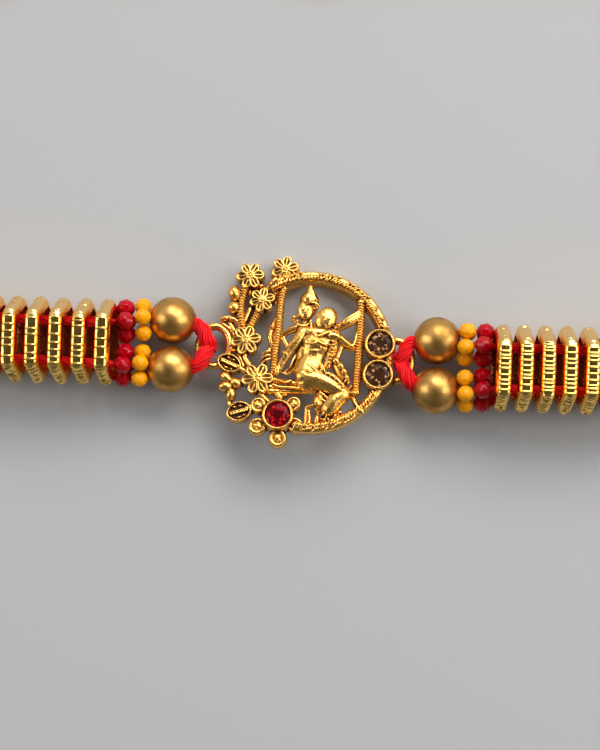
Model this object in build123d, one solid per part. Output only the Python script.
from build123d import *
import os
from collections import namedtuple
from math import atan2, cos, degrees, pi, radians, sin, sqrt, tan

# A rakhi bracelet that lies on a flat surface. Millimetres, +Z up.
# The origin is the middle of the wrist opening, on the surface.
# The pendant is at the front, towards -Y, and the tie knot at the back.

# Pendant casting
FRAME_R = 11.3          # outer radius of the rope-textured ring
FRAME_WIDE = 1.5        # width of its face
FRAME_START = -106      # the ring is open at the left, where flowers take its place
FRAME_SWEEP = 232
FRAME_BACK = 0.3        # its back lies this far in front of the casting's back
CAST_THICK = 2.5        # thickness of the casting at the ring
BAR_WIDE = 0.8          # stems, swing ropes and seat
BAR_THICK = 1.9
PETAL_BACK = 0.5        # flowers start this far in front of the casting's back
PETAL_FRONT = 2.1
DISH_DEEP = 0.3         # hollow in each petal
EYE_RAISED = 0.15       # a flower's middle over its petals
BUD_LOW = 0.2           # buds under the petals
FIGURE_BACK = 0.3       # figures are flat behind
LOOP_WIDE = 5.0         # side loops for the thread, outside
LOOP_TALL = 6.4
LOOP_WIRE = 0.8
LOOP_MID = 0.4          # height of the loops' middle over the casting's back
LEFT_LOOP_X = -13.1
RIGHT_LOOP_X = 11.7
BEZEL_WALL = 0.5
BEZEL_BACK = 0.2
BEZEL_FRONT = 2.7
RED_STONE_R = 1.65
AMBER_STONE_R = 1.6
STONE_TALL = 1.5        # table to culet
STONE_SUNK = 0.35       # table under the bezel's edge
STONE_GAP = 0.05
ROUND_PETAL_R = 1.2

# How the pendant lies
PENDANT_Y = -28.0       # middle of the ring
LOOP_Z = 2.85           # height of the side loops' middle
LEAN = 13.0             # its top edge drops to the surface
TURN = -2.7             # seen from above

# Balls and bead rings
BALL_ACROSS = 6.4
BALL_BORE = 2.4
YELLOW_ACROSS = 2.2
YELLOW_COUNT = 5
YELLOW_TURN = 14        # where the first bead of a ring sits
RED_ACROSS = 2.35
RED_COUNT = 4
RED_TURN = 0
BEAD_SIDES = 8
BEAD_GAP = 0.1          # between neighbours on the string
WIRE_ACROSS = 0.3       # the wire that each bead ring is strung on
WIRE_PLAY = 0.12        # round the wire in a bead

# Ring spacers
SPACER_TALL = 10.3      # hexagons, between opposite flats
SPACER_OPENING = 7.3
SPACER_THICK = 1.9
SPACER_ROUND = 1.2      # its corners
SPACER_INNER_ROUND = 0.5
SPACER_EDGE = 0.45
SPACER_COUNT = 8        # on each side

# Threads and knot
STRAND_ACROSS = 1.5     # silk bundle in the spacers and behind
HITCH_ACROSS = 1.6      # where it goes over the side loop
HITCH_GAP = 0.12        # between the silk and the loop's wire
CORE_ACROSS = 0.7       # where the beads squeeze it
HITCH_RIM_X = 0.52      # where a strand crosses the loop's rim, as shares of
HITCH_RIM_Y = 0.73      # half the loop
HITCH_DIVE = 0.6        # where it goes down, outward of the loop's middle
SWELL_LONG = 0.3        # where a strand swells again behind the beads
BEND_SHARE = 0.45
KNOT_LONG = 7.0
KNOT_WIDE = 6.4
KNOT_TALL = 3.6
KNOT_ROUND = 0.3        # its corners, as a share of its width or height
KNOT_PLAY = 0.1

Side = namedtuple("Side", "name outward pitch route")
Stop = namedtuple("Stop", "x y z apart rise")

# The route of each side's pair of strands, from the ball to the knot, chosen by hand.
# apart is the distance from the route to each strand, and rise how much
# higher the outer one is and how much lower the inner one.
LEFT_ROUTE = [
    Stop(-18.8, -27.4, 3.90, 3.30, 0.35),
    Stop(-29.0, -27.4, 4.60, 2.75, 0.00),
    Stop(-46.0, -27.3, 4.60, 2.75, 0.00),
    Stop(-54.0, -24.9, 3.70, 2.30, 0.00),
    Stop(-59.8, -18.4, 2.10, 1.50, 0.00),
    Stop(-62.0, -9.60, 1.00, 1.10, 0.00),
    Stop(-60.6, 0.50, 0.80, 1.00, 0.00),
    Stop(-57.0, 10.3, 0.80, 1.00, 0.00),
    Stop(-51.5, 18.8, 0.80, 1.00, 0.00),
    Stop(-43.5, 24.9, 0.80, 1.00, 0.00),
    Stop(-32.0, 27.7, 0.80, 1.00, 0.00),
    Stop(-18.0, 28.1, 0.90, 1.00, 0.00),
    Stop(-6.50, 27.5, 1.60, 1.05, 0.00),
    Stop(-1.50, 27.5, 1.60, 1.05, 0.00),
]
RIGHT_ROUTE = [
    Stop(17.1, -29.0, 3.90, 3.35, 0.35),
    Stop(27.1, -29.1, 4.60, 2.75, 0.00),
    Stop(42.9, -29.0, 4.60, 2.75, 0.00),
    Stop(50.8, -26.4, 3.70, 2.30, 0.00),
    Stop(56.4, -20.0, 2.10, 1.50, 0.00),
    Stop(59.0, -11.0, 1.00, 1.10, 0.00),
    Stop(58.4, -0.80, 0.80, 1.00, 0.00),
    Stop(55.1, 9.20, 0.80, 1.00, 0.00),
    Stop(49.8, 18.0, 0.80, 1.00, 0.00),
    Stop(42.0, 24.4, 0.80, 1.00, 0.00),
    Stop(31.0, 27.3, 0.80, 1.00, 0.00),
    Stop(17.6, 28.2, 0.90, 1.00, 0.00),
    Stop(6.50, 27.5, 1.60, 1.05, 0.00),
    Stop(1.50, 27.5, 1.60, 1.05, 0.00),
]
SIDES = [
    Side("left", -1, 3.1, LEFT_ROUTE),
    Side("right", 1, 2.85, RIGHT_ROUTE),
]

# Places and sizes on the pendant, as shares of the ring's outer radius
Flower = namedtuple("Flower", "x y radius turn")
FLOWERS = [
    Flower(-0.802, 0.880, 0.172, 8),
    Flower(-0.400, 0.974, 0.166, 20),
    Flower(-0.642, 0.586, 0.155, 4),
    Flower(-0.777, 0.046, 0.182, 12),
    Flower(-0.601, -0.368, 0.200, 0),
]
Leaf = namedtuple("Leaf", "x y half_long half_wide turn")
LEAVES = [
    Leaf(-0.953, -0.217, 0.150, 0.110, -25),
    Leaf(-0.795, -0.788, 0.160, 0.130, 18),
]
Bud = namedtuple("Bud", "x y radius")
BUDS = [
    Bud(-0.958, 0.651, 0.080),
    Bud(-0.971, 0.483, 0.068),
    Bud(-1.022, 0.322, 0.058),
    Bud(-0.941, 0.338, 0.058),
    Bud(-0.985, -0.402, 0.066),
    Bud(-0.995, -0.520, 0.068),
    Bud(-0.916, -0.600, 0.062),
]
Stem = namedtuple("Stem", "wide stops")
STEMS = [
    Stem(1.1, [(-0.802, 0.880), (-0.853, 0.734), (-0.866, 0.344), (-0.777, 0.046)]),
    Stem(1.0, [(-0.400, 0.974), (-0.522, 0.814), (-0.642, 0.586)]),
    Stem(0.9, [(-0.642, 0.586), (-0.708, 0.336), (-0.777, 0.046)]),
    Stem(0.9, [(-0.560, 0.560), (-0.640, 0.360), (-0.680, 0.180)]),
    Stem(0.9, [(-0.958, 0.651), (-0.866, 0.600)]),
    Stem(0.9, [(-0.971, 0.483), (-0.866, 0.420)]),
    Stem(0.8, [(-1.040, 0.270), (-0.941, 0.338), (-0.866, 0.344)]),
    Stem(1.0, [(-1.010, 0.225), (-0.777, 0.046)]),
    Stem(0.9, [(-0.777, 0.046), (-0.700, -0.150), (-0.601, -0.368)]),
    Stem(0.9, [(-0.953, -0.217), (-0.800, -0.310), (-0.601, -0.368)]),
    Stem(0.8, [(-0.985, -0.402), (-0.800, -0.430), (-0.995, -0.520)]),
    Stem(0.8, [(-0.800, -0.430), (-0.916, -0.600), (-0.795, -0.788)]),
    Stem(0.9, [(-0.800, -0.430), (-0.601, -0.368), (-0.560, -0.680)]),
    Stem(0.9, [(-0.470, 0.880), (-0.480, 0.620), (-0.500, 0.280), (-0.520, 0.020)]),
    Stem(0.8, [(-0.520, 0.020), (-0.440, -0.180), (-0.430, -0.360)]),
    Stem(1.1, [(-0.420, 0.850), (-0.416, 0.300), (-0.412, -0.440)]),
    Stem(1.2, [(0.600, 0.700), (0.592, 0.100), (0.575, -0.480)]),
    Stem(1.2, [(-0.460, -0.450), (0.100, -0.480), (0.590, -0.480)]),
    Stem(1.2, [(0.530, -0.480), (0.640, -0.700)]),
]
RoundPetal = namedtuple("RoundPetal", "turn")
ROUND_PETALS = [RoundPetal(turn) for turn in (40, -23, -88, -150, 160)]
Bezel = namedtuple("Bezel", "name x y stone_r")
BEZELS = [
    Bezel("red_stone", -0.330, -0.826, RED_STONE_R),
    Bezel("upper_amber_stone", 0.822, 0.166, AMBER_STONE_R),
    Bezel("lower_amber_stone", 0.820, -0.212, AMBER_STONE_R),
]

# The two figures on the swing, as shares of the same radius.
# Each limb tapers from one round end to the other.
Limb = namedtuple("Limb", "x1 y1 z1 r1 x2 y2 z2 r2")
FIGURE_LIMBS = {
    "back_head": [Limb(-0.070, 0.560, 0.170, 0.108, -0.064, 0.490, 0.170, 0.085)],
    "crown": [Limb(-0.068, 0.640, 0.170, 0.095, -0.060, 0.790, 0.160, 0.030)],
    "crown_tip": [Limb(-0.060, 0.770, 0.160, 0.040, -0.060, 0.870, 0.140, 0.032)],
    "back_shoulder": [Limb(-0.060, 0.430, 0.120, 0.070, -0.200, 0.300, 0.110, 0.075)],
    "back_body": [Limb(-0.080, 0.300, 0.110, 0.130, -0.020, -0.200, 0.110, 0.130)],
    "bent_arm": [
        Limb(-0.200, 0.305, 0.140, 0.052, -0.356, 0.202, 0.140, 0.042),
        Limb(-0.356, 0.202, 0.140, 0.042, -0.390, 0.120, 0.140, 0.034),
    ],
    "long_arm": [
        Limb(-0.076, 0.270, 0.190, 0.058, -0.220, 0.010, 0.180, 0.044),
        Limb(-0.220, 0.010, 0.180, 0.044, -0.367, -0.225, 0.150, 0.036),
    ],
    "scarf_end": [
        Limb(-0.124, -0.020, 0.130, 0.032, -0.190, -0.190, 0.130, 0.036),
        Limb(-0.190, -0.190, 0.130, 0.036, -0.300, -0.270, 0.130, 0.030),
    ],
    "front_head": [Limb(0.165, 0.445, 0.200, 0.115, 0.137, 0.365, 0.200, 0.096)],
    "front_neck": [Limb(0.150, 0.390, 0.180, 0.060, 0.130, 0.270, 0.170, 0.070)],
    "shoulders": [Limb(0.000, 0.230, 0.180, 0.085, 0.230, 0.230, 0.180, 0.085)],
    "chest": [Limb(0.115, 0.180, 0.180, 0.130, 0.060, -0.030, 0.180, 0.118)],
    "hips": [
        Limb(0.060, -0.030, 0.180, 0.118, 0.040, -0.210, 0.170, 0.165),
        Limb(0.040, -0.210, 0.170, 0.165, 0.060, -0.300, 0.170, 0.140),
    ],
    "thighs": [
        Limb(0.060, -0.280, 0.180, 0.150, 0.270, -0.270, 0.180, 0.140),
        Limb(0.270, -0.270, 0.180, 0.140, 0.420, -0.400, 0.170, 0.090),
    ],
    "shins": [
        Limb(0.380, -0.400, 0.170, 0.110, 0.200, -0.640, 0.160, 0.100),
        Limb(0.200, -0.640, 0.160, 0.100, 0.240, -0.860, 0.130, 0.110),
    ],
    "front_foot": [Limb(0.240, -0.860, 0.130, 0.080, 0.450, -0.860, 0.120, 0.036)],
    "back_shin": [Limb(0.036, -0.600, 0.120, 0.040, 0.045, -0.900, 0.110, 0.040)],
    "back_foot": [Limb(0.036, -0.600, 0.120, 0.040, 0.140, -0.590, 0.120, 0.050)],
    "raised_arm": [
        Limb(0.250, 0.260, 0.170, 0.055, 0.430, 0.420, 0.160, 0.044),
        Limb(0.430, 0.420, 0.160, 0.044, 0.580, 0.540, 0.150, 0.040),
    ],
    "lower_arm": [
        Limb(0.290, 0.200, 0.170, 0.050, 0.480, 0.120, 0.160, 0.040),
        Limb(0.480, 0.120, 0.160, 0.040, 0.570, 0.260, 0.150, 0.036),
    ],
    "scarf": [
        Limb(0.300, 0.180, 0.200, 0.060, 0.230, -0.060, 0.210, 0.055),
        Limb(0.230, -0.060, 0.210, 0.055, 0.340, -0.090, 0.200, 0.050),
    ],
    "ruffles": [
        Limb(0.360, -0.070, 0.160, 0.070, 0.440, -0.240, 0.160, 0.070),
        Limb(0.440, -0.240, 0.160, 0.070, 0.520, -0.400, 0.150, 0.060),
    ],
}

LIMB_SIDES = 8
LIMB_END = 0.75         # shares of the limb's radius
LIMB_BLUNT = 0.55

# A flower's petal, as shares of the flower's radius
Petal = namedtuple("Petal", "out half_long half_wide dish_half_long dish_half_wide")
PETAL = Petal(0.60, 0.42, 0.29, 0.28, 0.16)
PETAL_COUNT = 6
EYE_SHARE = 0.24
# A leaf's hollow and vein, as shares of the leaf's half length and half width
LEAF_DISH = (0.75, 0.66)
LEAF_VEIN = (1.2, 0.22)
# A bud's sloping edge, as shares of its radius
BUD_SLOPE = (0.3, 0.45)

# Cut stone, as shares of its girdle radius and of its height over the culet
StoneRing = namedtuple("StoneRing", "share height")
STONE_CUT = [StoneRing(0.10, 0.0), StoneRing(1.0, 0.55), StoneRing(0.58, 1.0)]
STONE_SIDES = 12
# Faceted bead, as shares of its width: half length and radius of each ring of corners
BEAD_CUT = [(-0.45, 0.24), (-0.20, 0.49), (0.20, 0.49), (0.45, 0.24)]


def joined(parts):
    """One solid from many that meet."""
    first, *others = parts
    return first.fuse(*others)


def slab(sketch, low, high):
    """A flat shape made solid between two heights."""
    return Pos(0, 0, low) * extrude(sketch, high - low)


def bar(stops, width, low, high):
    """A flat-faced bar with round corners along a few stops."""
    pieces = []
    for (x1, y1), (x2, y2) in zip(stops, stops[1:]):
        long, heading = sqrt((x2 - x1) ** 2 + (y2 - y1) ** 2), degrees(atan2(y2 - y1, x2 - x1))
        place = Pos((x1 + x2) / 2, (y1 + y2) / 2, 0) * Rot(0, 0, heading)
        pieces.append(place * slab(SlotCenterToCenter(long, width), low, high))
    return joined(pieces) if len(pieces) > 1 else pieces[0]


def rope_frame():
    """The round frame, open at the left where the flowers take its place."""
    outer = CenterArc((0, 0), FRAME_R, FRAME_START, FRAME_SWEEP)
    inner = CenterArc((0, 0), FRAME_R - FRAME_WIDE, FRAME_START, FRAME_SWEEP)
    edges = [outer, inner, Line(outer @ 0, inner @ 0), Line(outer @ 1, inner @ 1)]
    return slab(make_face(edges), FRAME_BACK, CAST_THICK)


def flower(radius):
    """Six dished petals round a centre bead."""
    petals = []
    blade = Ellipse(PETAL.half_long * radius, PETAL.half_wide * radius)
    hollow = Ellipse(PETAL.dish_half_long * radius, PETAL.dish_half_wide * radius)
    petal = slab(blade, PETAL_BACK, PETAL_FRONT) - slab(hollow, PETAL_FRONT - DISH_DEEP, PETAL_FRONT)
    for number in range(PETAL_COUNT):
        out = Rot(0, 0, 360 * number / PETAL_COUNT) * Pos(PETAL.out * radius, 0, 0)
        petals.append(out * petal)
    eye = slab(Circle(EYE_SHARE * radius), PETAL_BACK, PETAL_FRONT + EYE_RAISED)
    return joined([eye, *petals])


def leaf(half_long, half_wide):
    """A leaf with a raised rim and a vein."""
    blade = slab(Ellipse(half_long, half_wide), PETAL_BACK, PETAL_FRONT)
    hollow = Ellipse(LEAF_DISH[0] * half_long, LEAF_DISH[1] * half_wide)
    dish = slab(hollow, PETAL_FRONT - 2 * DISH_DEEP, PETAL_FRONT)
    vein = slab(Rectangle(LEAF_VEIN[0] * half_long, LEAF_VEIN[1] * half_wide), PETAL_BACK, PETAL_FRONT)
    return joined([blade - dish, vein])


def bud(radius):
    """A low dome with an upright wall."""
    dome = slab(Circle(radius), PETAL_BACK, PETAL_FRONT - BUD_LOW)
    down, inward = BUD_SLOPE
    return chamfer(dome.faces().sort_by(Axis.Z)[-1].edges(), down * radius, inward * radius)


def bezel_cup(stone_r):
    """The round cup of a bezel, before its stone's seat is cut."""
    return slab(Circle(stone_r + STONE_GAP + BEZEL_WALL), BEZEL_BACK, BEZEL_FRONT)


def stone_seat(stone_r):
    """What is cut out of a bezel: the stone's well, and a narrower one for its point."""
    culet, girdle = STONE_CUT[0], STONE_CUT[1]
    bottom = stone_base() - STONE_GAP
    ledge = bottom + girdle.height * STONE_TALL
    well = slab(Circle(stone_r + STONE_GAP), ledge, BEZEL_FRONT + 1)
    cone = Cone(culet.share * stone_r + STONE_GAP, stone_r + STONE_GAP, ledge - bottom)
    return joined([well, Pos(0, 0, (ledge + bottom) / 2) * cone])


def stone_base():
    """Height of a stone's culet: its table lies just under the bezel's edge."""
    return BEZEL_FRONT - STONE_SUNK - STONE_TALL


def cut_stone(stone_r):
    """A round stone with a table, crown facets and pavilion facets."""
    rings = [
        Pos(0, 0, stone_base() + row.height * STONE_TALL) * RegularPolygon(row.share * stone_r, STONE_SIDES)
        for row in STONE_CUT
    ]
    return loft(rings, ruled=True)


def thread_loop():
    """A side loop of round-cornered wire, flat with the casting."""
    ring = Ellipse(LOOP_WIDE / 2, LOOP_TALL / 2)
    hole = Ellipse(LOOP_WIDE / 2 - LOOP_WIRE, LOOP_TALL / 2 - LOOP_WIRE)
    return slab(ring - hole, LOOP_MID - LOOP_WIRE / 2, LOOP_MID + LOOP_WIRE / 2)


def limb(x1, y1, z1, r1, x2, y2, z2, r2):
    """A tapered eight-sided limb between two points, with blunt ends."""
    a, b = Vector(x1, y1, z1) * FRAME_R, Vector(x2, y2, z2) * FRAME_R
    r1, r2 = r1 * FRAME_R, r2 * FRAME_R
    run = b - a
    along = Plane(origin=a, z_dir=run)
    sections = [
        (-LIMB_END * r1, LIMB_BLUNT * r1), (0, r1),
        (run.length, r2), (run.length + LIMB_END * r2, LIMB_BLUNT * r2),
    ]
    rings = [
        along * Pos(0, 0, height) * RegularPolygon(radius, LIMB_SIDES)
        for height, radius in sections
    ]
    return loft(rings, ruled=True)


def figures():
    """Both figures on the swing, cut level behind."""
    body = joined([limb(*row) for rows in FIGURE_LIMBS.values() for row in rows])
    room = slab(Rectangle(3 * FRAME_R, 3 * FRAME_R), FIGURE_BACK, 2 * CAST_THICK)
    return body & room


def lies_on_surface(local):
    """Moves a piece from the pendant's own frame to where it lies."""
    place = Pos(0, PENDANT_Y, LOOP_Z) * Rot(0, 0, TURN) * Rot(-LEAN, 0, 0)
    return place * Pos(0, 0, -LOOP_MID) * local


def pendant():
    """The whole casting, in its own frame, back at zero height."""
    pieces = [rope_frame(), figures()]
    for row in STEMS:
        stops = [(x * FRAME_R, y * FRAME_R) for x, y in row.stops]
        pieces.append(bar(stops, row.wide * BAR_WIDE, PETAL_BACK, BAR_THICK))
    for row in FLOWERS:
        place = Pos(row.x * FRAME_R, row.y * FRAME_R, 0) * Rot(0, 0, row.turn)
        pieces.append(place * flower(row.radius * FRAME_R))
    for row in LEAVES:
        place = Pos(row.x * FRAME_R, row.y * FRAME_R, 0) * Rot(0, 0, row.turn)
        pieces.append(place * leaf(row.half_long * FRAME_R, row.half_wide * FRAME_R))
    for row in BUDS:
        pieces.append(Pos(row.x * FRAME_R, row.y * FRAME_R, 0) * bud(row.radius * FRAME_R))
    for x in (LEFT_LOOP_X, RIGHT_LOOP_X):
        pieces.append(Pos(x, 0, 0) * thread_loop())
    seats = []
    for row in BEZELS:
        place = Pos(row.x * FRAME_R, row.y * FRAME_R, 0)
        pieces.append(place * bezel_cup(row.stone_r))
        seats.append(place * stone_seat(row.stone_r))
    red = Pos(BEZELS[0].x * FRAME_R, BEZELS[0].y * FRAME_R, 0)
    reach = RED_STONE_R + BEZEL_WALL + 0.7 * ROUND_PETAL_R
    for row in ROUND_PETALS:
        out = Rot(0, 0, row.turn) * Pos(reach, 0, 0)
        pieces.append(red * out * bud(ROUND_PETAL_R))
    casting = joined(pieces)
    for seat in seats:
        casting = casting - seat
    return casting


def ball():
    """A round ball with its bore along X."""
    bore = Rot(0, 90, 0) * Cylinder(BALL_BORE / 2, 2 * BALL_ACROSS)
    return Sphere(BALL_ACROSS / 2) - bore


def faceted_bead(across):
    """A faceted bead, drilled along Z for its wire."""
    rings = [
        Pos(0, 0, height * across) * RegularPolygon(share * across, BEAD_SIDES)
        for height, share in BEAD_CUT
    ]
    return loft(rings, ruled=True) - Cylinder(WIRE_ACROSS / 2 + WIRE_PLAY, 2 * across)


def ring_radius(across, count):
    """Radius of the circle through the middles of a ring of beads."""
    return (across + BEAD_GAP) / (2 * sin(pi / count))


def bead_ring(across, count, turn):
    """Loose beads on a ring of wire, round the Z axis."""
    radius = ring_radius(across, count)
    beads = [
        Rot(0, 0, turn + 360 * number / count) * Pos(radius, 0, 0) * Rot(90, 0, 0) * faceted_bead(across)
        for number in range(count)
    ]
    return Compound([*[solid for bead in beads for solid in bead.solids()],
                     *Torus(radius, WIRE_ACROSS / 2).solids()])


def round_hexagon(tall, corner):
    """A hexagon with flats towards +X and -X, and round corners."""
    shape = Rot(0, 0, 30) * RegularPolygon(tall / 2, 6, major_radius=False)
    return fillet(shape.vertices(), corner)


def ring_spacer():
    """A hexagonal ring, its opening along Z."""
    outside = round_hexagon(SPACER_TALL, SPACER_ROUND)
    inside = round_hexagon(SPACER_OPENING, SPACER_INNER_ROUND)
    block = slab(outside, -SPACER_THICK / 2, SPACER_THICK / 2)
    rims = block.edges().filter_by(Axis.Z, reverse=True)
    return chamfer(rims, SPACER_EDGE) - slab(inside, -SPACER_THICK, SPACER_THICK)


def strand_points(side, hand):
    """The points of one strand of a side's pair: hand is +1 for the inner one, -1 for the outer."""
    points = []
    route, last = side.route, len(side.route) - 1
    for number, stop in enumerate(route):
        before, after = route[max(number - 1, 0)], route[min(number + 1, last)]
        heading = atan2(after.y - before.y, after.x - before.x)
        out = hand * side.outward * stop.apart
        points.append(Vector(
            stop.x - out * sin(heading),
            stop.y + out * cos(heading),
            stop.z - hand * stop.rise,
        ))
    return points


def bend_radii(points):
    """Each bend as large as its two runs allow."""
    radii = []
    for a, b, c in zip(points, points[1:], points[2:]):
        before, after = b - a, c - b
        half_turn = radians(before.get_angle(after) / 2)
        radii.append(BEND_SHARE * min(before.length, after.length) / tan(half_turn))
    return radii


def path_through(points):
    """Straight runs joined by tangent arcs."""
    if len(points) == 2:
        return Line(*points)
    return FilletPolyline(*points, radius=bend_radii(points))


def tube(points, across):
    """A round thread along a path."""
    path = path_through(points)
    return sweep((path ^ 0) * Circle(across / 2), path=path)


def squeezed_length():
    """From the ball's middle to the end of the red bead ring, along the strand."""
    return red_ring_place() + RED_ACROSS / 2


def yellow_ring_place():
    """From the ball's middle to the yellow ring, whose beads rest on the ball."""
    touch = (BALL_ACROSS + YELLOW_ACROSS) / 2 + BEAD_GAP
    return sqrt(touch ** 2 - ring_radius(YELLOW_ACROSS, YELLOW_COUNT) ** 2)


def red_ring_place():
    """From the ball's middle to the red ring, whose beads rest on the yellow ones."""
    step = ring_radius(YELLOW_ACROSS, YELLOW_COUNT) - ring_radius(RED_ACROSS, RED_COUNT)
    touch = (YELLOW_ACROSS + RED_ACROSS) / 2 + BEAD_GAP
    return yellow_ring_place() + sqrt(touch ** 2 - step ** 2)


def first_spacer_place():
    """From the ball's middle to the first spacer's middle."""
    return squeezed_length() + BEAD_GAP + SPACER_THICK / 2


def hitch(side, loop_middle):
    """The bundle from both balls over the side loop, down its opening and under its bar."""
    silk = HITCH_ACROSS / 2
    clear = LOOP_WIRE / 2 + silk + HITCH_GAP
    top = loop_middle.Z + clear
    low = loop_middle.Z - clear
    halves = []
    for hand in (1, -1):
        ball_middle = strand_points(side, hand)[0]
        mouth = ball_middle - Vector(side.outward * BALL_ACROSS / 2, 0, 0)
        rim_y = hand * HITCH_RIM_Y * LOOP_TALL / 2
        rim_x = side.outward * HITCH_RIM_X * LOOP_WIDE / 2
        rim_z = top + HITCH_GAP - rim_y * tan(radians(LEAN))
        rim = Vector(loop_middle.X + rim_x, loop_middle.Y + rim_y, rim_z)
        halves.append([ball_middle, mouth, rim])
    dive = Vector(loop_middle.X + HITCH_DIVE * side.outward, loop_middle.Y, top)
    over = tube([*halves[0], dive, *reversed(halves[1])], HITCH_ACROSS)
    bottom = Vector(dive.X, dive.Y, low)
    tuck = Vector(loop_middle.X + side.outward * LOOP_WIDE / 2, dive.Y, low)
    down = Pos((dive + bottom) / 2) * Cylinder(silk, (dive - bottom).length)
    under = Pos((bottom + tuck) / 2) * Rot(0, 90, 0) * Cylinder(silk, (tuck - bottom).length)
    ends = [Pos(point) * Sphere(silk) for point in (dive, bottom, tuck)]
    return [over, down, under, *ends]


def thread(side, loop_middle):
    """One side's red thread: the hitch, and both strands to the knot."""
    pieces = hitch(side, loop_middle)
    for hand in (1, -1):
        points = strand_points(side, hand)
        along = (points[1] - points[0]).normalized()
        swell = points[0] + along * squeezed_length()
        pieces.append(tube([points[0], swell + along * SWELL_LONG], CORE_ACROSS))
        pieces.append(tube([swell, *points[1:]], STRAND_ACROSS))
    return joined(pieces)


def square_to(origin, heading):
    """A place whose Z axis points along a strand."""
    return Plane(origin=origin, x_dir=(0, 0, 1), z_dir=heading)


def strung(side):
    """The balls and bead rings of one side, by name."""
    placed = {}
    for hand, row in ((1, "inner"), (-1, "outer")):
        points = strand_points(side, hand)
        along = (points[1] - points[0]).normalized()
        placed[f"{side.name}_{row}_ball"] = Pos(points[0]) * ball()
        yellow = square_to(points[0] + along * yellow_ring_place(), along)
        red = square_to(points[0] + along * red_ring_place(), along)
        placed[f"{side.name}_{row}_yellow_beads"] = yellow * bead_ring(YELLOW_ACROSS, YELLOW_COUNT, YELLOW_TURN)
        placed[f"{side.name}_{row}_red_beads"] = red * bead_ring(RED_ACROSS, RED_COUNT, RED_TURN)
    return placed


def spacer_places(side):
    """Where the spacers stand: along the middle of the two strands, on the surface."""
    points = [Vector(stop.x, stop.y, SPACER_TALL / 2) for stop in side.route]
    line = path_through([points[0], *points[2:]])
    for number in range(SPACER_COUNT):
        along = first_spacer_place() + number * side.pitch
        heading = line.tangent_at(along, position_mode=PositionMode.LENGTH)
        yield square_to(line.position_at(along, position_mode=PositionMode.LENGTH), heading)


def tie_knot():
    """A plain pulled knot, with a seat for each of the four strands."""
    middle = Vector(0, LEFT_ROUTE[-1].y, KNOT_TALL / 2)
    body = Box(KNOT_LONG, KNOT_WIDE, KNOT_TALL)
    body = fillet(body.edges().filter_by(Axis.Z), KNOT_ROUND * KNOT_WIDE)
    body = Pos(middle) * fillet(body.faces().sort_by(Axis.Z)[-1].edges(), KNOT_ROUND * KNOT_TALL)
    for side in SIDES:
        for hand in (1, -1):
            end = strand_points(side, hand)[-1]
            seat = Rot(0, 90, 0) * Cylinder(STRAND_ACROSS / 2 + KNOT_PLAY, KNOT_LONG)
            body = body - Pos(end.X + side.outward * KNOT_LONG / 2, end.Y, end.Z) * seat
    return body


def build():
    """Every piece by its name, where it lies."""
    pieces = {"pendant": lies_on_surface(pendant())}
    for row in BEZELS:
        stone = Pos(row.x * FRAME_R, row.y * FRAME_R, 0) * cut_stone(row.stone_r)
        pieces[row.name] = lies_on_surface(stone)
    for side, loop_x in zip(SIDES, (LEFT_LOOP_X, RIGHT_LOOP_X)):
        loop_middle = lies_on_surface(Pos(loop_x, 0, LOOP_MID)).position
        pieces[f"{side.name}_thread"] = thread(side, loop_middle)
        pieces.update(strung(side))
        for number, place in enumerate(spacer_places(side), 1):
            pieces[f"{side.name}_spacer_{number}"] = place * ring_spacer()
    pieces["tie_knot"] = tie_knot()
    return pieces


os.makedirs("parts", exist_ok=True)
for name, piece in build().items():
    export_step(piece, f"parts/{name}.step")
for side in SIDES:
    for hand in (1, -1):
        bends = bend_radii(strand_points(side, hand))
        print(side.name, "strand bends", [round(bend, 1) for bend in bends])
